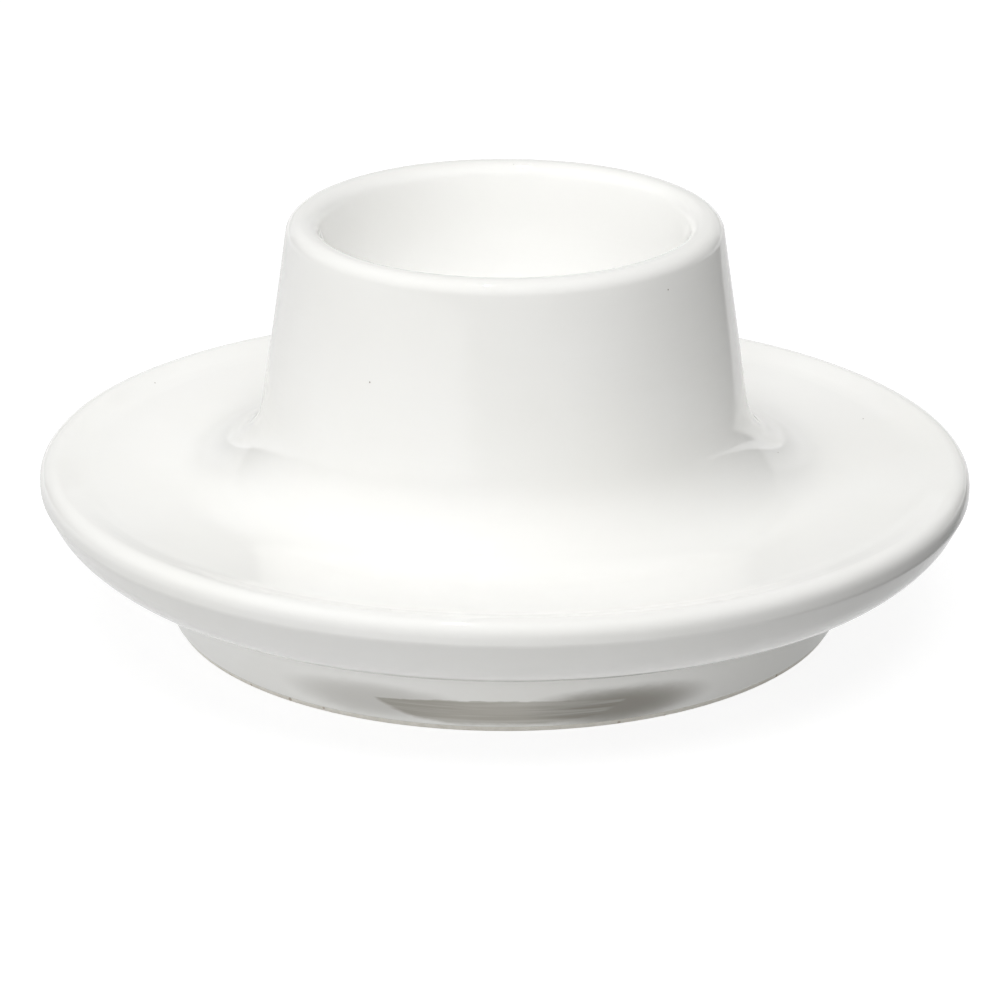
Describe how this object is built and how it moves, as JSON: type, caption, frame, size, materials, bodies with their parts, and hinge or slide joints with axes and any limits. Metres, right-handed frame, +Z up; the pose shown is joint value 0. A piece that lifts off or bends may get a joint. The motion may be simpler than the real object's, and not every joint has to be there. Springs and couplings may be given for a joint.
{
  "type": "egg cup",
  "caption": "Hat-shaped egg cup in one with its saucer: tapered cup with rounded lip, swept out to a wide dished brim with a thick rolled edge, on a short foot ring, in glossy white stoneware.",
  "frame": {"origin": "centre of the foot ring's standing face, on the table", "axes": "+Z is up along the cup's axis of revolution; X and Y are any two directions across it, and the picture looks along +Y"},
  "size_m": [0.12, 0.12, 0.0524],
  "materials": {
    "clay": "fired stoneware clay, matt, bare only on the standing ring",
    "glaze": "glossy white glaze"
  },
  "bodies": {
    "root": {"cup": "clay", "saucer": "clay", "foot_ring": "clay", "glaze_outside": "glaze", "glaze_underside": "glaze"}
  },
  "joints": []
}
